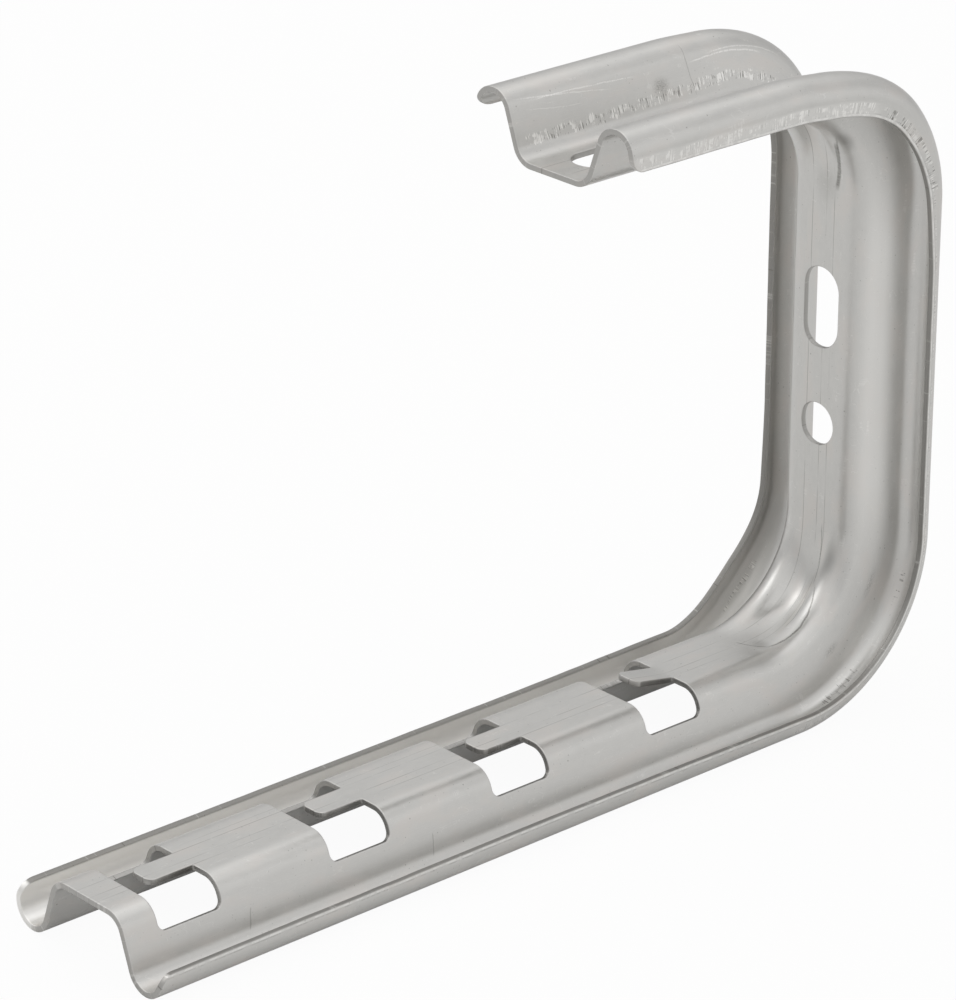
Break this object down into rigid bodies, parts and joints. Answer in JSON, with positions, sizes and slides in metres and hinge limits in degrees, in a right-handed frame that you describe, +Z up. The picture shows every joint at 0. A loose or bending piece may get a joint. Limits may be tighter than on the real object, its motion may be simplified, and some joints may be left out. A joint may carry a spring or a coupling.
{
  "type": "ceiling bracket",
  "caption": "C-shaped cable tray bracket of rolled hat-section steel: a long notched lower arm, a back with a slot and a round hole, and a short slotted upper arm.",
  "frame": {"origin": "middle of the footprint, on the plane that the curls of the lower arm stand on", "axes": "+X from the free ends of the arms to the upright, +Y across the section, +Z up from the lower arm to the upper arm"},
  "size_m": [0.2465, 0.0534, 0.171],
  "materials": {
    "steel": "satin, mill finish with roll marks"
  },
  "bodies": {
    "root": {"bracket": "steel"}
  },
  "joints": []
}
